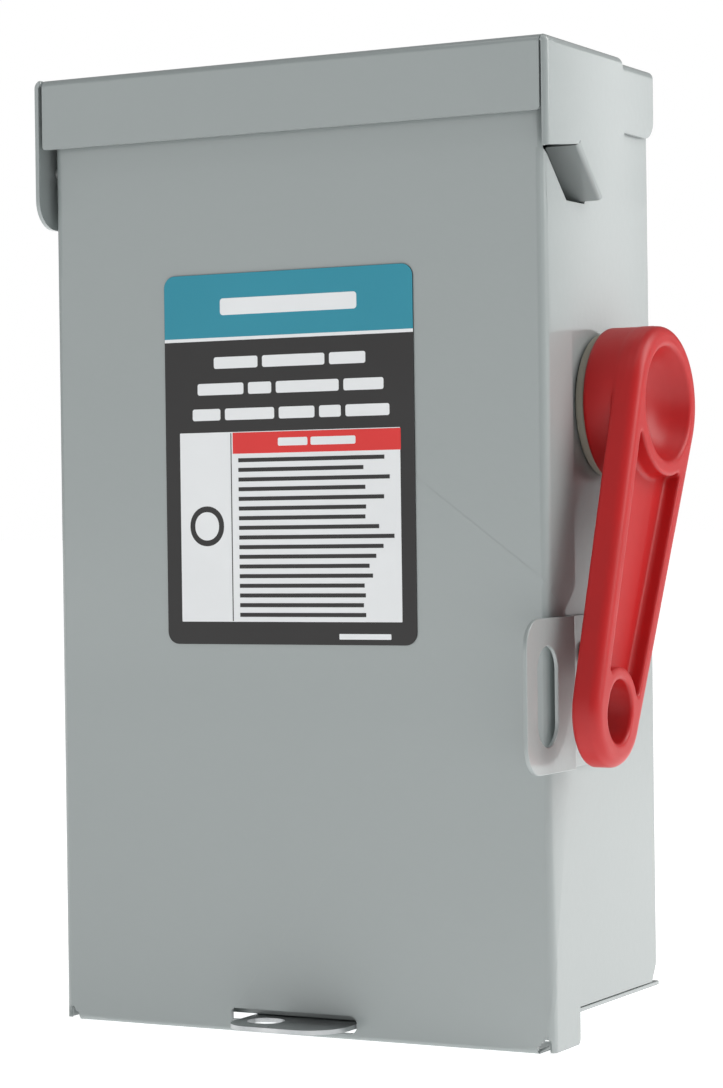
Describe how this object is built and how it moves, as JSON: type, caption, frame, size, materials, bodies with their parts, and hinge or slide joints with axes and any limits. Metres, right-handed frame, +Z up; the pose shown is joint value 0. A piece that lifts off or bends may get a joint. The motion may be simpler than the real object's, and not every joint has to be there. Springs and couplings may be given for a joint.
{
  "type": "AC disconnect box",
  "caption": "Wall-mounted rainproof steel safety switch box with a top-hinged cover, red side handle, padlock tabs and knife-blade switch inside.",
  "frame": {"origin": "back face of the box, on its centre line, midway in height between the top keyhole and the two lower mounting slots", "axes": "+Z up, -Y out of the cover towards the viewer, +Y into the wall, +X to the viewer's right, where the handle is"},
  "size_m": [0.1731, 0.0963, 0.2697],
  "materials": {
    "paint": "light grey enamel with a faint orange peel",
    "zinc_steel": "bright zinc plate",
    "copper": "bare copper strip",
    "aluminium": "extruded bar",
    "black_moulding": "moulded insulating compound",
    "fibre": "grey insulating sheet",
    "red_plastic": "glossy red moulding",
    "ring_plastic": "beige washer",
    "label": "printed plastic label",
    "card": "printed card"
  },
  "bodies": {
    "enclosure": {"enclosure_body": "paint", "knockout_rear": "paint", "bottom_end_wall": "paint", "knockout_bottom_left": "paint", "knockout_bottom_middle": "paint", "knockout_bottom_right": "paint", "top_hood": "paint", "hub_plate": "paint", "handle_hasp": "paint", "hasp_rivet_1": "paint", "hasp_rivet_2": "paint", "cover_hasp": "zinc_steel", "hub_screw_1": "zinc_steel", "hub_screw_2": "zinc_steel", "hub_screw_3": "zinc_steel", "hub_screw_4": "zinc_steel", "base_screw_1": "zinc_steel", "base_screw_2": "zinc_steel", "line_clamp_1": "zinc_steel", "line_clamp_2": "zinc_steel", "line_screw_1": "zinc_steel", "line_screw_2": "zinc_steel", "load_clamp_1": "zinc_steel", "load_clamp_2": "zinc_steel", "load_screw_1": "zinc_steel", "load_screw_2": "zinc_steel", "pivot_bracket_left": "zinc_steel", "pivot_bracket_right": "zinc_steel", "pivot_rod": "zinc_steel", "ground_screw_1": "zinc_steel", "ground_screw_2": "zinc_steel", "ground_screw_3": "zinc_steel", "ground_screw_4": "zinc_steel", "hinge_rod": "zinc_steel", "line_contact_1": "copper", "line_contact_2": "copper", "load_contact_1": "copper", "load_contact_2": "copper", "ground_bar": "aluminium", "switch_base": "black_moulding", "line_shield": "fibre", "handle_ring": "ring_plastic"},
    "handle_drive": {"handle": "red_plastic", "handle_shaft": "zinc_steel", "drive_crank": "zinc_steel", "interlock_hook": "zinc_steel"},
    "rotor": {"crossbar": "black_moulding", "fork_lever": "zinc_steel", "blade_1": "copper", "blade_2": "copper"},
    "door": {"cover": "paint", "cover_hook_left": "paint", "cover_hook_right": "paint", "cover_catch": "zinc_steel", "label_plate": "label", "wiring_card": "card"}
  },
  "joints": [
    {"name": "handle_turn", "type": "hinge", "parent": "enclosure", "child": "handle_drive", "pos_m": [0.0772, -0.0343, 0.0347], "axis": [-1, 0, 0], "range_deg": [0, 132.8]},
    {"name": "rotor_turn", "type": "hinge", "parent": "enclosure", "child": "rotor", "pos_m": [0, -0.028, 0.0136], "axis": [-1, 0, 0], "range_deg": [0, 60]},
    {"name": "cover_swing", "type": "hinge", "parent": "enclosure", "child": "door", "pos_m": [0, -0.0713, 0.1042], "axis": [-1, 0, 0], "range_deg": [0, 90]}
  ],
  "couplings": [
    {"joint": "rotor_turn", "follows": "handle_turn", "ratio": 0.4518}
  ]
}
